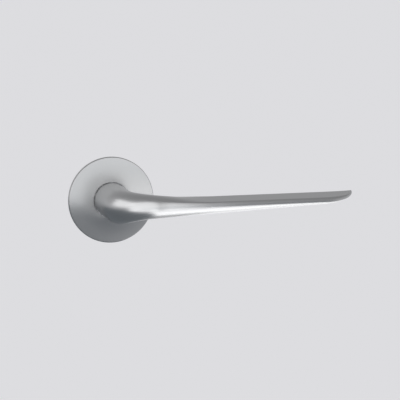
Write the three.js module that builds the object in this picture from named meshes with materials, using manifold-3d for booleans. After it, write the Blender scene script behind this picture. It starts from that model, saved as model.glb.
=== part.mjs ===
// Door lever handle on a thin round rose, with its sprung cassette, spindle and fixings.
// Millimetres. The door's face is the plane y = 0: -Y points into the room and +Y into the door.
// The spindle lies on the Y axis, the lever points to +X and +Z is up.

import * as THREE from 'three';
import { mergeVertices } from 'three/addons/utils/BufferGeometryUtils.js';
import Module from 'manifold-3d';

const wasm = await Module();
wasm.setup();

// Driving dimensions

const ROSE_RADIUS = 26;
const ROSE_THICKNESS = 2.2;
const ROSE_SHEET = 0.95;
const ROSE_RIM = 1.2;
const ROSE_CHAMFER = 0.4;

const NECK_RADIUS = 10.4;
const NECK_GAP = 0.4;
const NECK_SET_BACK = 0.35;
const BEND_RADIUS = 17;
const GRIP_AXIS_OUT = 46;
const LEVER_LENGTH = 138.5;

const GRIP_HALF_DEPTH = 7.1;
const GRIP_TOP = 6.1;
const GRIP_CENTRE = 1.6;
const GRIP_BOTTOM = -5.8;
const GRIP_BOTTOM_RISE = 0.046;
const FACET_SLOPE = 0.16;
const FACET_BACK = 0.87;
const FACET_BLEND = 3;
const TIP_LENGTH = 21;
const TIP_BLUNTNESS = 0.003;

// Where the neck's circle turns into the grip's section, counted along the middle line
// from the bend's start

const NECK_END = -4;
const DEPTH_REACHED = 34;
const TOP_REACHED = 62;
const BOTTOM_REACHED = 25;
const FACET_START = 20;
const FACET_REACHED = 58;
const SECTION_POINTS = 32;

const SHANK_RADIUS = 7.5;
const SHANK_FLATS = 11;
const SHANK_END = 14.4;
const SHANK_CHAMFER = 0.4;
const SPINDLE_SIZE = 8;
const SPINDLE_CHAMFER = 0.6;
const SPINDLE_IN_LEVER = 24;
const SPINDLE_IN_DOOR = 62;
const SOCKET_CLEARANCE = 0.2;
const SOCKET_SPARE = 0.5;
const GRUB_OUT = 14;
const GRUB_RADIUS = 2.9;
const GRUB_SUNK = 1.2;
const GRUB_HEX = 3;
const GRUB_HEX_DEPTH = 2.4;

const PLATE_RADIUS = 24;
const PLATE_THICKNESS = 0.9;
const PLATE_RIM = 1.1;
const PLATE_RECESS = 0.12;
const BOLT_CENTRES = 38;
const BOLT_ANGLES = { left: 225, right: 45 };
const BOLT_RADIUS = 2;
const BOLT_HEAD_RADIUS = 3.6;
const BOLT_LENGTH = 42;
const POST_RADIUS = 3.75;
const POST_LENGTH = 8;
const SNAP_WIRE_RADIUS = 0.3;
const SNAP_RING_ENDS = [100, 440];

const HOUSING_RADIUS = 15.1;
const HOUSING_WALL = 1.3;
const HOUSING_DEPTH = 12.2;
const HOUSING_FLOOR = 1.2;
const BOSS_CIRCLE = 13;
const BOSS_RADIUS = 1.7;
const BOSS_ANGLES = [90, 210, 330];
const CASSETTE_SCREW_RADIUS = 1.1;
const CASSETTE_HEAD_RADIUS = 1.95;
const CASSETTE_SCREW_LENGTH = 8;

// A screw head's cross, in head radii and head depths

const CROSS_WIDTH = 0.28;
const CROSS_LENGTH = 1.15;
const CROSS_DEPTH = 0.8;

const BUSH_WALL = 0.75;
const BUSH_FLANGE = 0.42;
const THRUST_SET_IN = 0.2;
const REAR_BUSH_WALL = 1.3;
const REAR_FLANGE = 1;
const WAVE_SPACE = 0.55;
const RING_THICKNESS = 0.8;
const RING_GROOVE_DEPTH = 0.5;
const RING_WIDTH = 2.1;
const RING_EAR_ANGLES = [64, 116];
const RING_EAR_RADIUS = 1.5;
const RING_EAR_HOLE = 0.7;

const RUNNING_GAP = 0.1;
const TOUCH_GAP = 0.05;
const HEAD_GAP = 0.08;
const WASHER_GAP = 0.3;
const SMALL_CHAMFER = 0.5;
const SPRING_RADIUS = 9.7;
const SPRING_WIRE = 1.4;
const SPRING_FRONT = 1.7;
const SPRING_BACK = 6.2;
const SPRING_LEG_OUT = 13.1;
const SPRING_FIXED_ANGLE = 60;
const SPRING_DRIVEN_ANGLE = 168;
const SPRING_FULL_TURNS = 2;
const SPRING_ANCHOR_RADIUS = 1;
const ANCHOR_ANGLE = 8.5;
const COIL_START_ANGLE = 4;

const TRAVEL = 45;
const DRIVER_RADIUS = 10.9;
const DRIVER_FRONT = 7.3;
const DRIVER_BACK = 10.1;
const STOP_CIRCLE = 12.3;
const STOP_PIN_RADIUS = 1.2;
const STOP_PIN_CHAMFER = 0.3;
const STOP_LUG_ANGLE = 285;
const STOP_LUG_HALF_ANGLE = 8;
const STOP_CLEAR_ANGLE = 0.5;
const FINGER_ANGLE = 8;
const FINGER_CLEAR_ANGLE = 4.5;
const FINGER_OUT = 13.4;
const FINGER_ROOT = 1.5;

// How far a cutter runs past what it cuts

const PAST = 1;
const COUNTERSINK_PAST = 0.1;

const FINE = 72;
const ROUND = 40;
const POST_SIDES = 24;
const SMALL = 20;

// Front to back along the spindle: neck end, bush flange, plate, housing floor, ring groove

const NECK_START_OUT = ROSE_THICKNESS - NECK_SET_BACK;
const BUSH_FLANGE_FRONT = -(PLATE_THICKNESS + BUSH_FLANGE);
const BEHIND_PLATE = TOUCH_GAP - PLATE_RECESS;
const FLATS_FROM = DRIVER_FRONT - WASHER_GAP;
const FLOOR_FRONT = HOUSING_DEPTH - HOUSING_FLOOR;
const RING_GROOVE_Y = HOUSING_DEPTH + WAVE_SPACE;

// Finishes

const finishes = {
  satinSteel: { color: 0xa9abad, roughness: 0.38, metalness: 1.0 },
  zincPlate: { color: 0xb9bcc0, roughness: 0.45, metalness: 1.0 },
  castZinc: { color: 0x8f9294, roughness: 0.6, metalness: 0.9 },
  springSteel: { color: 0x6e7073, roughness: 0.35, metalness: 1.0 },
  blackScrew: { color: 0x2d2e30, roughness: 0.5, metalness: 0.8 },
  whitePlastic: { color: 0xe4e4df, roughness: 0.5, metalness: 0.0 },
};

// Solids from closed geometry, for cutting and joining

function toSolid(geometry) {
  const bare = geometry.index ? geometry.toNonIndexed() : geometry.clone();
  bare.deleteAttribute('normal');
  bare.deleteAttribute('uv');
  const merged = mergeVertices(bare, 1e-4);
  return new wasm.Manifold(new wasm.Mesh({
    numProp: 3,
    vertProperties: new Float32Array(merged.attributes.position.array),
    triVerts: new Uint32Array(merged.index.array),
  }));
}

function toGeometry(solid) {
  const { vertProperties, triVerts } = solid.getMesh();
  const geometry = new THREE.BufferGeometry();
  geometry.setAttribute('position', new THREE.BufferAttribute(new Float32Array(vertProperties), 3));
  geometry.setIndex(new THREE.BufferAttribute(new Uint32Array(triVerts), 1));
  geometry.computeVertexNormals();
  return geometry;
}

function cut(geometry, cutters) {
  const solid = cutters.reduce((rest, cutter) => rest.subtract(toSolid(cutter)), toSolid(geometry));
  return toGeometry(solid);
}

function join(geometry, additions) {
  return toGeometry(additions.reduce((solid, part) => solid.add(toSolid(part)), toSolid(geometry)));
}

// Round bodies about the Y axis, from an outline of [radius, y] points listed anticlockwise

function turned(outline, segments = ROUND, startAngle = 0) {
  const points = outline.map(([radius, y]) => new THREE.Vector2(radius, y));
  return new THREE.LatheGeometry(points, segments, startAngle);
}

function tube(inner, outer, y0, y1, segments = ROUND) {
  return turned([[inner, y0], [outer, y0], [outer, y1], [inner, y1], [inner, y0]], segments);
}

function rod(radius, y0, y1, segments = SMALL) {
  return turned([[0, y0], [radius, y0], [radius, y1], [0, y1]], segments);
}

function chamferedRod(radius, y0, y1, chamfer, segments = SMALL) {
  return turned([
    [0, y0],
    [radius - chamfer, y0],
    [radius, y0 + chamfer],
    [radius, y1 - chamfer],
    [radius - chamfer, y1],
    [0, y1],
  ], segments);
}

function cone(radius0, y0, radius1, y1, segments = SMALL) {
  return turned([[0, y0], [radius0, y0], [radius1, y1], [0, y1]], segments);
}

function block(x, y, z, sizeX, sizeY, sizeZ) {
  return new THREE.BoxGeometry(sizeX, sizeY, sizeZ).translate(x, y, z);
}

// A place on a circle about the Y axis, with the angle counted from +X towards +Z

function onCircle(radius, degrees, y = 0) {
  const angle = THREE.MathUtils.degToRad(degrees);
  return new THREE.Vector3(radius * Math.cos(angle), y, radius * Math.sin(angle));
}

function movedTo(geometry, place) {
  return geometry.translate(place.x, place.y, place.z);
}

// A flat ring sector between two angles, as thick as y0 to y1

function sector(inner, outer, degrees0, degrees1, y0, y1, steps = 8) {
  const outline = [];
  for (let i = 0; i <= steps; i += 1) {
    const place = onCircle(outer, THREE.MathUtils.lerp(degrees0, degrees1, i / steps));
    outline.push(new THREE.Vector2(place.x, place.z));
  }
  for (let i = steps; i >= 0; i -= 1) {
    const place = onCircle(inner, THREE.MathUtils.lerp(degrees0, degrees1, i / steps));
    outline.push(new THREE.Vector2(place.x, place.z));
  }
  return extrudedAlongY(new THREE.Shape(outline), y0, y1);
}

// Shapes are drawn in the X-Z plane

function extrudedAlongY(shape, y0, y1) {
  const options = { depth: y1 - y0, bevelEnabled: false, curveSegments: 8 };
  const geometry = new THREE.ExtrudeGeometry(shape, options);
  return geometry.rotateX(Math.PI / 2).translate(0, y1, 0);
}

// Lever: sections swept out of the door along the neck, round the bend and along the grip

function ease(value, start, end) {
  return THREE.MathUtils.smoothstep(value, start, end);
}

function softMin(a, b, blend) {
  const overlap = Math.max(blend - Math.abs(a - b), 0) / blend;
  return Math.min(a, b) - (overlap * overlap * blend) / 4;
}

const BEND_START_OUT = GRIP_AXIS_OUT - BEND_RADIUS;
const BEND_ARC = (BEND_RADIUS * Math.PI) / 2;

// The section's centre and its forward direction, at a distance past the start of the bend

function leverStation(distance) {
  if (distance <= 0) {
    return { x: 0, out: BEND_START_OUT + distance, forwardX: -1, forwardOut: 0 };
  }
  if (distance >= BEND_ARC) {
    return { x: BEND_RADIUS + distance - BEND_ARC, out: GRIP_AXIS_OUT, forwardX: 0, forwardOut: 1 };
  }
  const angle = distance / BEND_RADIUS;
  return {
    x: BEND_RADIUS * (1 - Math.cos(angle)),
    out: BEND_START_OUT + BEND_RADIUS * Math.sin(angle),
    forwardX: -Math.cos(angle),
    forwardOut: Math.sin(angle),
  };
}

// One section: a circle in the neck, and on the grip a full belly under a flat that slopes forward

function leverSection(distance, count) {
  const { x, out, forwardX, forwardOut } = leverStation(distance);
  const deep = ease(distance, NECK_END, DEPTH_REACHED);
  const halfDepth = THREE.MathUtils.lerp(NECK_RADIUS, GRIP_HALF_DEPTH, deep);
  const centre = THREE.MathUtils.lerp(0, GRIP_CENTRE, deep);
  const top = THREE.MathUtils.lerp(NECK_RADIUS, GRIP_TOP, ease(distance, NECK_END, TOP_REACHED));
  const alongGrip = distance - BEND_ARC + BEND_RADIUS;
  const belly = GRIP_BOTTOM + GRIP_BOTTOM_RISE * alongGrip;
  const bottom = THREE.MathUtils.lerp(-NECK_RADIUS, belly, ease(distance, NECK_END, BOTTOM_REACHED));
  const facet = ease(distance, FACET_START, FACET_REACHED);
  const facetBackHeight = Math.sqrt(1 - FACET_BACK * FACET_BACK);
  const intoTip = Math.max(alongGrip - (LEVER_LENGTH - TIP_LENGTH), 0) / TIP_LENGTH;
  const shrink = Math.sqrt(Math.max(1 - intoTip * intoTip, TIP_BLUNTNESS));
  const points = [];
  for (let i = 0; i < count; i += 1) {
    const angle = (2 * Math.PI * i) / count;
    const forward = halfDepth * Math.cos(angle);
    const rise = Math.sin(angle);
    const round = centre + rise * (rise > 0 ? top - centre : centre - bottom);
    const flat = top - FACET_SLOPE * (forward + FACET_BACK * halfDepth);
    const shoulder = centre + rise * (rise > 0 ? (top - centre) / facetBackHeight : centre - bottom);
    const height = THREE.MathUtils.lerp(round, softMin(shoulder, flat, FACET_BLEND), facet);
    const backEdge = -FACET_BACK * halfDepth;
    const drawnForward = backEdge + (forward - backEdge) * shrink;
    const drawnHeight = top + (height - top) * shrink;
    points.push([x + forwardX * drawnForward, -(out + forwardOut * drawnForward), drawnHeight]);
  }
  return points;
}

function leverStations() {
  const neckStart = -(BEND_START_OUT - NECK_START_OUT);
  const gripEnd = BEND_ARC + LEVER_LENGTH - BEND_RADIUS;
  const tipStart = gripEnd - TIP_LENGTH;
  const bendSteps = 18;
  const gripSteps = 6;
  const tipSteps = 8;
  const distances = [neckStart];
  for (let i = 0; i <= bendSteps; i += 1) {
    distances.push(THREE.MathUtils.lerp(NECK_END, TOP_REACHED, i / bendSteps));
  }
  for (let i = 1; i <= gripSteps; i += 1) {
    distances.push(THREE.MathUtils.lerp(TOP_REACHED, tipStart, i / gripSteps));
  }
  for (let i = 1; i <= tipSteps; i += 1) {
    distances.push(tipStart + TIP_LENGTH * Math.sin((i / tipSteps) * (Math.PI / 2)));
  }
  return distances;
}

// Closed skin over a run of rings, with a flat fan at each end

function loft(rings) {
  const count = rings[0].length;
  const positions = rings.flat(2);
  const index = [];
  for (let r = 0; r + 1 < rings.length; r += 1) {
    for (let i = 0; i < count; i += 1) {
      const next = (i + 1) % count;
      const a = r * count + i;
      const b = r * count + next;
      const c = a + count;
      const d = b + count;
      index.push(a, c, b, b, c, d);
    }
  }
  const lastRing = (rings.length - 1) * count;
  for (let i = 1; i + 1 < count; i += 1) {
    index.push(0, i, i + 1);
    index.push(lastRing, lastRing + i + 1, lastRing + i);
  }
  const geometry = new THREE.BufferGeometry();
  geometry.setAttribute('position', new THREE.Float32BufferAttribute(positions, 3));
  geometry.setIndex(index);
  return geometry;
}

// A square bar, with its sides divided where it leaves the lever's shank

function squareBar(size, y0, y1, chamfer) {
  const corner = size * Math.SQRT1_2;
  return turned([
    [0, y0],
    [corner - chamfer, y0],
    [corner, y0 + chamfer],
    [corner, SHANK_END + SHANK_CHAMFER],
    [corner, y1 - chamfer],
    [corner - chamfer, y1],
    [0, y1],
  ], 4, Math.PI / 4);
}

// What the two flats take off a round shank or bore, above and below the axis

function flatSlabs(halfFlats, y0, y1) {
  const height = SHANK_RADIUS;
  const width = 2 * (SHANK_RADIUS + PAST);
  return [1, -1].map(
    (side) => block(0, (y0 + y1) / 2, side * (halfFlats + height / 2), width, y1 - y0, height),
  );
}

// The shank's end has two flats that drive the spring plate, and a groove for the ring

function shank() {
  const rounds = chamferedRod(SHANK_RADIUS, -NECK_START_OUT - PAST, SHANK_END, SHANK_CHAMFER, ROUND);
  const grooveEnd = RING_GROOVE_Y + RING_THICKNESS + RUNNING_GAP;
  return cut(rounds, [
    ...flatSlabs(SHANK_FLATS / 2, FLATS_FROM, SHANK_END + PAST),
    tube(SHANK_RADIUS - RING_GROOVE_DEPTH, SHANK_RADIUS + PAST, RING_GROOVE_Y, grooveEnd),
  ]);
}

function verticalRod(radius, z0, z1, y) {
  return rod(radius, z0, z1).rotateX(Math.PI / 2).translate(0, y, 0);
}

function leverHandle() {
  const rings = leverStations().map((distance) => leverSection(distance, SECTION_POINTS));
  const socketSize = SPINDLE_SIZE + SOCKET_CLEARANCE;
  const socketEnd = SPINDLE_IN_LEVER + SOCKET_SPARE;
  const socket = squareBar(socketSize, -socketEnd, SHANK_END + 2 * PAST, SPINDLE_CHAMFER / 2);
  const grubHoleRadius = GRUB_RADIUS + RUNNING_GAP;
  const grubHole = verticalRod(grubHoleRadius, -NECK_RADIUS - PAST, -SPINDLE_SIZE / 2, -GRUB_OUT);
  return cut(join(loft(rings), [shank()]), [socket, grubHole]);
}

function hexSocket(acrossFlats, y0, y1) {
  const corner = acrossFlats / Math.sqrt(3);
  return turned([[0, y0], [corner, y0], [corner, y1], [0, y1]], 6);
}

function grubScrew() {
  const top = -(SPINDLE_SIZE + SOCKET_CLEARANCE) / 2 - RUNNING_GAP;
  const bottom = -NECK_RADIUS + GRUB_SUNK;
  const hex = hexSocket(GRUB_HEX, bottom - PAST, bottom + GRUB_HEX_DEPTH);
  const body = cut(chamferedRod(GRUB_RADIUS, bottom, top, SMALL_CHAMFER), [hex]);
  return body.rotateX(Math.PI / 2).translate(0, -GRUB_OUT, 0);
}

// Rose and its plate

function roseCover() {
  const hole = NECK_RADIUS + NECK_GAP;
  return turned([
    [hole, -ROSE_THICKNESS + ROSE_SHEET],
    [hole, -ROSE_THICKNESS],
    [ROSE_RADIUS - ROSE_CHAMFER, -ROSE_THICKNESS],
    [ROSE_RADIUS, -ROSE_THICKNESS + ROSE_CHAMFER],
    [ROSE_RADIUS, 0],
    [ROSE_RADIUS - ROSE_RIM, 0],
    [ROSE_RADIUS - ROSE_RIM, -ROSE_THICKNESS + ROSE_SHEET],
    [hole, -ROSE_THICKNESS + ROSE_SHEET],
  ], FINE);
}

class RingPath extends THREE.Curve {
  constructor(radius, y, degrees0, degrees1) {
    super();
    Object.assign(this, { radius, y, degrees0, degrees1 });
  }

  getPoint(t) {
    return onCircle(this.radius, THREE.MathUtils.lerp(this.degrees0, this.degrees1, t), this.y);
  }
}

function wire(path, radius, steps, sides = 6) {
  const outline = [];
  for (let i = 0; i < sides; i += 1) {
    const angle = (2 * Math.PI * i) / sides;
    outline.push(new THREE.Vector2(radius * Math.cos(angle), radius * Math.sin(angle)));
  }
  return new THREE.ExtrudeGeometry(new THREE.Shape(outline), { steps, extrudePath: path });
}

function snapRing() {
  const radius = (PLATE_RADIUS + ROSE_RADIUS - ROSE_RIM) / 2;
  return wire(new RingPath(radius, -PLATE_THICKNESS / 2, ...SNAP_RING_ENDS), SNAP_WIRE_RADIUS, 48);
}

// A 90 degree countersink from the plate's front, and the hole that goes on behind it

function countersink(headRadius, shankRadius, place) {
  const front = -PLATE_THICKNESS;
  const holeRadius = shankRadius + HEAD_GAP;
  const coneFront = front - COUNTERSINK_PAST;
  const coneEnd = front + headRadius - shankRadius;
  const head = cone(headRadius + HEAD_GAP + COUNTERSINK_PAST, coneFront, holeRadius, coneEnd);
  const hole = rod(holeRadius, front, HOUSING_DEPTH);
  return movedTo(join(head, [hole]), place);
}

const boltPlaces = {
  left: onCircle(BOLT_CENTRES / 2, BOLT_ANGLES.left),
  right: onCircle(BOLT_CENTRES / 2, BOLT_ANGLES.right),
};
const bossPlaces = BOSS_ANGLES.map((degrees) => onCircle(BOSS_CIRCLE, degrees));

// The plate bears on the door with a raised rim round its back

function mountingPlate() {
  const bushHole = SHANK_RADIUS + RUNNING_GAP + BUSH_WALL + RUNNING_GAP;
  const plate = turned([
    [bushHole, -PLATE_THICKNESS],
    [PLATE_RADIUS, -PLATE_THICKNESS],
    [PLATE_RADIUS, 0],
    [PLATE_RADIUS - PLATE_RIM, 0],
    [PLATE_RADIUS - PLATE_RIM, -PLATE_RECESS],
    [bushHole, -PLATE_RECESS],
    [bushHole, -PLATE_THICKNESS],
  ], FINE);
  return cut(plate, [
    ...Object.values(boltPlaces).map((place) => countersink(BOLT_HEAD_RADIUS, BOLT_RADIUS, place)),
    ...bossPlaces.map((place) => countersink(CASSETTE_HEAD_RADIUS, CASSETTE_SCREW_RADIUS, place)),
  ]);
}

function locatingPost(place) {
  const post = chamferedRod(POST_RADIUS, BEHIND_PLATE, POST_LENGTH, SHANK_CHAMFER, POST_SIDES);
  return cut(movedTo(post, place), [countersink(BOLT_HEAD_RADIUS, BOLT_RADIUS, place)]);
}

// A countersunk screw or bolt with a cross in its head

function countersunkScrew(headRadius, shankRadius, length) {
  const headDepth = headRadius - shankRadius;
  const front = -PLATE_THICKNESS;
  const body = turned([
    [0, front],
    [headRadius, front],
    [shankRadius, front + headDepth],
    [shankRadius, front + length - SMALL_CHAMFER],
    [shankRadius - SMALL_CHAMFER, front + length],
    [0, front + length],
  ], SMALL);
  const crossWidth = headRadius * CROSS_WIDTH;
  const crossLength = headRadius * CROSS_LENGTH;
  const crossDepth = headDepth * CROSS_DEPTH;
  const middle = front + (crossDepth - PAST) / 2;
  return cut(body, [
    block(0, middle, 0, crossLength, crossDepth + PAST, crossWidth),
    block(0, middle, 0, crossWidth, crossDepth + PAST, crossLength),
  ]);
}

// Sprung cassette behind the plate. A pin meets the lug's side at rest, the other at the end of travel

function stopPinPlace(side) {
  const pinHalfAngle = THREE.MathUtils.radToDeg(STOP_PIN_RADIUS / STOP_CIRCLE);
  const clear = STOP_LUG_HALF_ANGLE + pinHalfAngle + STOP_CLEAR_ANGLE;
  const angle = side === 'rest' ? STOP_LUG_ANGLE + clear : STOP_LUG_ANGLE - TRAVEL - clear;
  return onCircle(STOP_CIRCLE, angle);
}

const stopPinPlaces = { rest: stopPinPlace('rest'), travel: stopPinPlace('travel') };
const rearBushRadius = SHANK_RADIUS + RUNNING_GAP + REAR_BUSH_WALL;

function springHousing() {
  const bore = rearBushRadius + TOUCH_GAP;
  const inner = HOUSING_RADIUS - HOUSING_WALL;
  const cup = turned([
    [inner, BEHIND_PLATE],
    [HOUSING_RADIUS, BEHIND_PLATE],
    [HOUSING_RADIUS, HOUSING_DEPTH - SMALL_CHAMFER],
    [HOUSING_RADIUS - SMALL_CHAMFER, HOUSING_DEPTH],
    [bore, HOUSING_DEPTH],
    [bore, FLOOR_FRONT],
    [inner, FLOOR_FRONT],
    [inner, BEHIND_PLATE],
  ], FINE);
  const intoFloor = FLOOR_FRONT + HOUSING_FLOOR / 2;
  const bosses = bossPlaces.map((place) => movedTo(rod(BOSS_RADIUS, BEHIND_PLATE, intoFloor), place));
  const anchorPlace = onCircle(SPRING_LEG_OUT + RUNNING_GAP, SPRING_FIXED_ANGLE - ANCHOR_ANGLE);
  const anchor = movedTo(rod(SPRING_ANCHOR_RADIUS, BEHIND_PLATE, intoFloor), anchorPlace);
  const screwHole = rod(CASSETTE_SCREW_RADIUS + HEAD_GAP, -PAST, CASSETTE_SCREW_LENGTH);
  const pinHole = rod(STOP_PIN_RADIUS + TOUCH_GAP, FLOOR_FRONT - PAST, HOUSING_DEPTH + PAST);
  return cut(join(cup, [...bosses, anchor]), [
    ...bossPlaces.map((place) => movedTo(screwHole.clone(), place)),
    ...Object.values(stopPinPlaces).map((place) => movedTo(pinHole.clone(), place)),
  ]);
}

// Torsion spring: a radial leg held by the housing, the coil, and a radial leg on the driver's finger

function returnSpring() {
  const sweep = -(360 * SPRING_FULL_TURNS + 360 - (SPRING_DRIVEN_ANGLE - SPRING_FIXED_ANGLE));
  const inward = COIL_START_ANGLE / Math.abs(sweep);
  const coilSteps = 40;
  const legMid = (SPRING_LEG_OUT + SPRING_RADIUS) / 2;
  const places = [
    onCircle(SPRING_LEG_OUT, SPRING_FIXED_ANGLE, SPRING_FRONT),
    onCircle(legMid, SPRING_FIXED_ANGLE, SPRING_FRONT),
  ];
  for (let i = 0; i <= coilSteps; i += 1) {
    const t = THREE.MathUtils.lerp(inward, 1 - inward, i / coilSteps);
    const y = THREE.MathUtils.lerp(SPRING_FRONT, SPRING_BACK, t);
    places.push(onCircle(SPRING_RADIUS, SPRING_FIXED_ANGLE + sweep * t, y));
  }
  places.push(onCircle(legMid, SPRING_DRIVEN_ANGLE, SPRING_BACK));
  places.push(onCircle(SPRING_LEG_OUT, SPRING_DRIVEN_ANGLE, SPRING_BACK));
  return wire(new THREE.CatmullRomCurve3(places, false, 'centripetal'), SPRING_WIRE / 2, 96);
}

function doubleFlatBore(y0, y1) {
  const slabs = flatSlabs(SHANK_FLATS / 2 + RUNNING_GAP, y0 - PAST, y1 + PAST);
  return cut(rod(SHANK_RADIUS + RUNNING_GAP, y0, y1, ROUND), slabs);
}

// The driver turns with the shank: its lug meets the two stop pins and its finger pushes the spring

function springDriver() {
  const disc = rod(DRIVER_RADIUS, DRIVER_FRONT, DRIVER_BACK, ROUND);
  const rooted = DRIVER_RADIUS - FINGER_ROOT;
  const lug = sector(
    rooted,
    FINGER_OUT,
    STOP_LUG_ANGLE - STOP_LUG_HALF_ANGLE,
    STOP_LUG_ANGLE + STOP_LUG_HALF_ANGLE,
    DRIVER_FRONT,
    DRIVER_BACK,
  );
  const fingerStart = SPRING_DRIVEN_ANGLE + FINGER_CLEAR_ANGLE;
  const fingerEnd = fingerStart + FINGER_ANGLE;
  const arm = sector(rooted, FINGER_OUT, fingerStart, fingerEnd, DRIVER_FRONT, DRIVER_BACK);
  const fingerIn = DRIVER_RADIUS + RUNNING_GAP;
  const fingerFront = SPRING_BACK - SPRING_WIRE;
  const finger = sector(fingerIn, FINGER_OUT, fingerStart, fingerEnd, fingerFront, DRIVER_FRONT + PAST);
  const bore = doubleFlatBore(DRIVER_FRONT - PAST, DRIVER_BACK + PAST);
  return cut(join(disc, [lug, arm, finger]), [bore]);
}

function bearingBush() {
  const inner = SHANK_RADIUS + RUNNING_GAP;
  const outer = inner + BUSH_WALL;
  const flange = NECK_RADIUS - RUNNING_GAP;
  const flangeBack = -PLATE_THICKNESS - TOUCH_GAP;
  const back = DRIVER_FRONT - 4 * RUNNING_GAP;
  return turned([
    [inner, BUSH_FLANGE_FRONT],
    [flange, BUSH_FLANGE_FRONT],
    [flange, flangeBack],
    [outer, flangeBack],
    [outer, back],
    [inner, back],
    [inner, BUSH_FLANGE_FRONT],
  ]);
}

function rearBush() {
  const inner = SHANK_RADIUS + RUNNING_GAP;
  const front = DRIVER_BACK + 3 * RUNNING_GAP;
  return turned([
    [inner, front],
    [rearBushRadius + REAR_FLANGE, front],
    [rearBushRadius + REAR_FLANGE, FLOOR_FRONT - TOUCH_GAP],
    [rearBushRadius, FLOOR_FRONT - TOUCH_GAP],
    [rearBushRadius, HOUSING_DEPTH],
    [inner, HOUSING_DEPTH],
    [inner, front],
  ]);
}

function thrustWasher() {
  const front = -NECK_START_OUT + TOUCH_GAP;
  const outer = NECK_RADIUS - THRUST_SET_IN;
  return tube(SHANK_RADIUS + WASHER_GAP, outer, front, BUSH_FLANGE_FRONT - TOUCH_GAP);
}

function waveWasher() {
  const outer = rearBushRadius + REAR_FLANGE;
  const back = RING_GROOVE_Y - TOUCH_GAP;
  return tube(SHANK_RADIUS + WASHER_GAP, outer, HOUSING_DEPTH + TOUCH_GAP, back);
}

// Open ring in the shank's groove, with a drilled ear at each end

function retainingRing() {
  const y0 = RING_GROOVE_Y + TOUCH_GAP;
  const y1 = y0 + RING_THICKNESS - 2 * TOUCH_GAP;
  const inner = SHANK_RADIUS - RING_GROOVE_DEPTH + HEAD_GAP;
  const outer = inner + RING_WIDTH;
  const [first, last] = RING_EAR_ANGLES;
  const ring = sector(inner, outer, last - 358, first - 2, y0, y1, 36);
  const earPlaces = RING_EAR_ANGLES.map((degrees) => onCircle(outer, degrees));
  const ears = earPlaces.map((place) => movedTo(rod(RING_EAR_RADIUS, y0, y1), place));
  const holes = earPlaces.map((place) => movedTo(rod(RING_EAR_HOLE, y0 - PAST, y1 + PAST), place));
  return cut(join(ring, ears), holes);
}

// Assembly

const group = new THREE.Group();

function addPart(name, geometry, finish, place = null) {
  const mesh = new THREE.Mesh(geometry, new THREE.MeshStandardMaterial(finishes[finish]));
  mesh.name = name;
  if (place) {
    mesh.position.copy(place);
  }
  group.add(mesh);
}

addPart('lever_handle', leverHandle(), 'satinSteel');
addPart('grub_screw', grubScrew(), 'blackScrew');
const spindle = squareBar(SPINDLE_SIZE, -SPINDLE_IN_LEVER, SPINDLE_IN_DOOR, SPINDLE_CHAMFER);
addPart('square_spindle', spindle, 'zincPlate');
addPart('spring_driver', springDriver(), 'zincPlate');
addPart('retaining_ring', retainingRing(), 'springSteel');

addPart('rose_cover', roseCover(), 'satinSteel');
addPart('snap_ring', snapRing(), 'springSteel');
addPart('mounting_plate', mountingPlate(), 'zincPlate');
addPart('thrust_washer', thrustWasher(), 'whitePlastic');
addPart('bearing_bush', bearingBush(), 'whitePlastic');
addPart('rear_bush', rearBush(), 'whitePlastic');
addPart('wave_washer', waveWasher(), 'springSteel');
addPart('spring_housing', springHousing(), 'castZinc');
addPart('return_spring', returnSpring(), 'springSteel');

for (const [side, place] of Object.entries(boltPlaces)) {
  addPart(`locating_post_${side}`, locatingPost(place), 'zincPlate');
  const bolt = countersunkScrew(BOLT_HEAD_RADIUS, BOLT_RADIUS, BOLT_LENGTH);
  addPart(`through_bolt_${side}`, bolt, 'zincPlate', place);
}

bossPlaces.forEach((place, i) => {
  const screw = countersunkScrew(CASSETTE_HEAD_RADIUS, CASSETTE_SCREW_RADIUS, CASSETTE_SCREW_LENGTH);
  addPart(`cassette_screw_${i + 1}`, screw, 'zincPlate', place);
});

for (const [side, place] of Object.entries(stopPinPlaces)) {
  const pin = chamferedRod(STOP_PIN_RADIUS, FLATS_FROM, HOUSING_DEPTH, STOP_PIN_CHAMFER);
  addPart(`stop_pin_${side}`, pin, 'springSteel', place);
}

export default group;
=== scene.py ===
# Looks of the door lever handle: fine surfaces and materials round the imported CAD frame.
# Metres. The door's face is y = 0, -Y points into the room, the lever points to +X and +Z is up.

import math

import bmesh
import bpy
import numpy as np
from mathutils import Matrix, Vector


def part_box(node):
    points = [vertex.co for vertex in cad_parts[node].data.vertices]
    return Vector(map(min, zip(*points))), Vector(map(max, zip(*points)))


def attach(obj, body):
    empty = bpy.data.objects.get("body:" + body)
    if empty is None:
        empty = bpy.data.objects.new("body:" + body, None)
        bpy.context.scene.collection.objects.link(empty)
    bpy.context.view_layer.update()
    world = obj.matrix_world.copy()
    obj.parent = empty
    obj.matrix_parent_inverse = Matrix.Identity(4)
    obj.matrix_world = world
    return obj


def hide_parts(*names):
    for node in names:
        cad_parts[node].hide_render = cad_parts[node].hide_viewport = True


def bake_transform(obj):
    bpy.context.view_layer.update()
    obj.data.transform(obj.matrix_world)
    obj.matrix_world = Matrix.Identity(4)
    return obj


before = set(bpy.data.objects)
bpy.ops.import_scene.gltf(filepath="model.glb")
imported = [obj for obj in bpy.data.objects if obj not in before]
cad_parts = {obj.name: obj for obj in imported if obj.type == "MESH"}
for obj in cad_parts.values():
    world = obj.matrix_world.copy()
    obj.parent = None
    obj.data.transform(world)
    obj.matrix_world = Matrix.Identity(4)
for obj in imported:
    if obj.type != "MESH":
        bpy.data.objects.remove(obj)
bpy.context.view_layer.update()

MM = 0.001


# Sizes: outer ones come from the CAD nodes, the rest repeat its dimensions or set finer detail

lever_low, lever_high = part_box("lever_handle")
rose_low, rose_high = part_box("rose_cover")

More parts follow.
